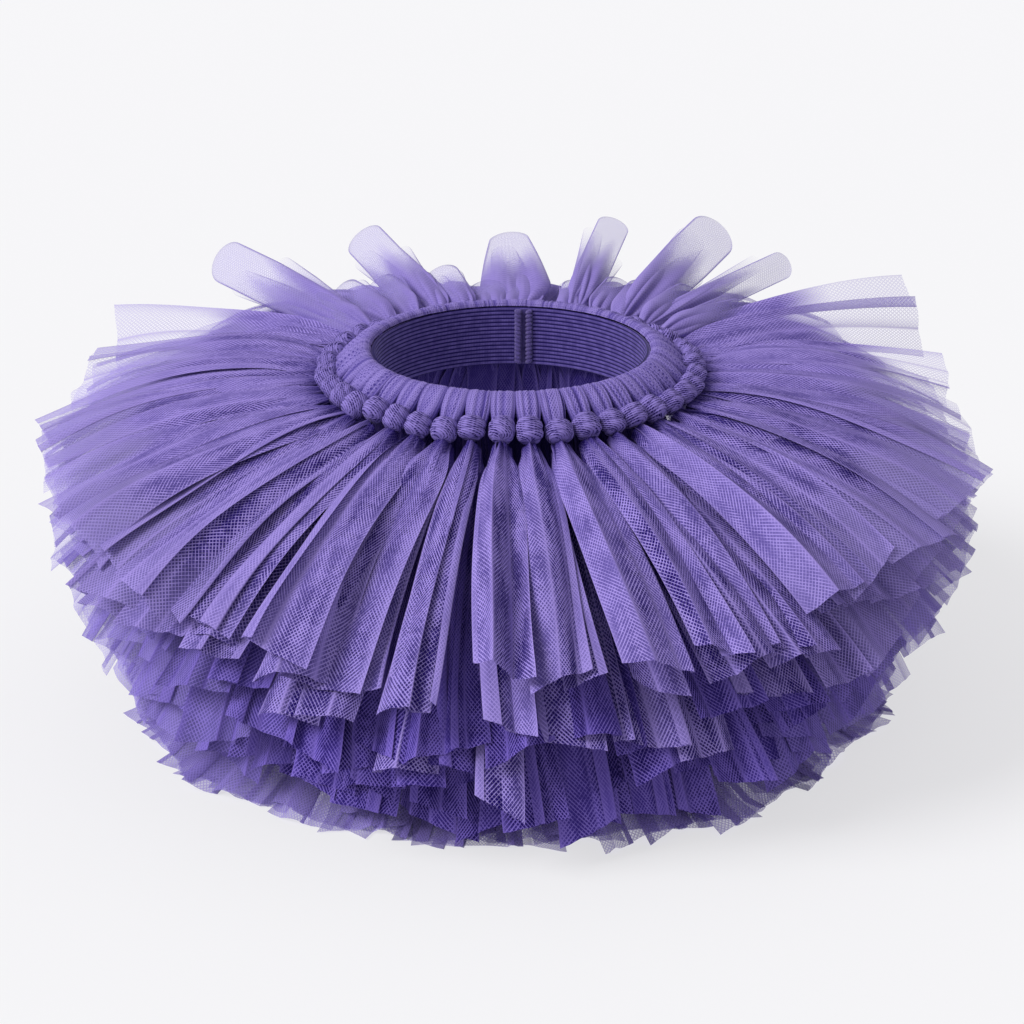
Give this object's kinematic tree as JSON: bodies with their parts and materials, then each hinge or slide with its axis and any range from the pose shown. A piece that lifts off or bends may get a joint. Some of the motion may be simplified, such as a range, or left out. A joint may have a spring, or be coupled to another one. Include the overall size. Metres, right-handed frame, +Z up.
{
  "type": "tulle skirt",
  "caption": "Small child's tutu skirt: tulle strips knotted round a ribbed elastic waistband, fanned out in stepped layers, standing by itself with its waist open.",
  "frame": {"origin": "on the floor, below the middle of the whole skirt's box; the waist's own axis is within a few millimetres of it", "axes": "+Z up through the waist opening; -Y towards the front, where the tails hang lowest; +X to the right as seen from the front"},
  "size_m": [0.4902, 0.4772, 0.2043],
  "materials": {
    "tulle": "matte fine net, see-through where it is single",
    "elastic": "matte ribbed weave"
  },
  "bodies": {
    "root": {"elastic_band": "elastic", "band_join": "elastic", "knot_01": "tulle", "knot_02": "tulle", "knot_03": "tulle", "knot_04": "tulle", "knot_05": "tulle", "knot_06": "tulle", "knot_07": "tulle", "knot_08": "tulle", "knot_09": "tulle", "knot_10": "tulle", "knot_11": "tulle", "knot_12": "tulle", "knot_13": "tulle", "knot_14": "tulle", "knot_15": "tulle", "knot_16": "tulle", "knot_17": "tulle", "knot_18": "tulle", "knot_19": "tulle", "knot_20": "tulle", "knot_21": "tulle", "knot_22": "tulle", "knot_23": "tulle", "knot_24": "tulle", "knot_25": "tulle", "knot_26": "tulle", "knot_27": "tulle", "knot_28": "tulle", "knot_29": "tulle", "knot_30": "tulle", "knot_31": "tulle", "knot_32": "tulle", "knot_33": "tulle", "knot_34": "tulle", "knot_35": "tulle", "knot_36": "tulle", "knot_37": "tulle", "knot_38": "tulle", "knot_39": "tulle", "knot_40": "tulle", "knot_41": "tulle", "knot_42": "tulle", "tier_1_right": "tulle", "tier_1_back": "tulle", "tier_1_left": "tulle", "tier_1_front": "tulle", "tier_2_right": "tulle", "tier_2_back": "tulle", "tier_2_left": "tulle", "tier_2_front": "tulle", "tier_3_right": "tulle", "tier_3_back": "tulle", "tier_3_left": "tulle", "tier_3_front": "tulle", "tier_4_right": "tulle", "tier_4_back": "tulle", "tier_4_left": "tulle", "tier_4_front": "tulle"}
  },
  "joints": []
}
